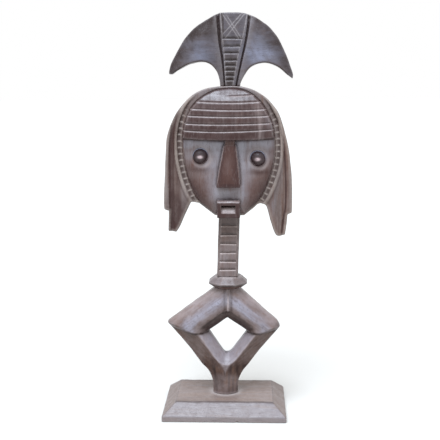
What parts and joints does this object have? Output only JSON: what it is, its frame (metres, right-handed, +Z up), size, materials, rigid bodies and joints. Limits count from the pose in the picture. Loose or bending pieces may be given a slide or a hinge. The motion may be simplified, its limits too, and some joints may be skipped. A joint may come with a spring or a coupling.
{
  "type": "carved guardian figure",
  "caption": "Free-standing carved wooden guardian figure: crescent crest, shield face with lappets, banded neck, faceted collar and open lozenge body on a bevelled plinth.",
  "frame": {"origin": "centre of the plinth's flat underside", "axes": "+Z up along the figure, -Y the way the face looks, +X to the viewer's right"},
  "size_m": [0.195, 0.138, 0.6],
  "materials": {
    "plinth_wood": "pale wax over planed wood, satin",
    "body_wood": "dark stained wood, waxed and pale in the hollows",
    "collar_wood": "dark stained wood, waxed",
    "neck_wood": "dark stained wood, pale wax in the grooves",
    "coiffure_wood": "dark stained wood, waxed",
    "face_wood": "dark stained wood, waxed and rubbed",
    "eye_wood": "dark stained wood, polished",
    "crest_wood": "dark stained wood with a cool wax sheen",
    "dowel_wood": "plain beech, unfinished",
    "screw_steel": "zinc plated"
  },
  "bodies": {
    "root": {"plinth": "plinth_wood", "lozenge_body": "body_wood", "collar": "collar_wood", "neck": "neck_wood", "coiffure": "coiffure_wood", "face_shield": "face_wood", "eye_left": "eye_wood", "eye_right": "eye_wood", "crest": "crest_wood", "crest_dowels": "dowel_wood", "face_dowels": "dowel_wood", "plinth_screws": "screw_steel"}
  },
  "joints": []
}
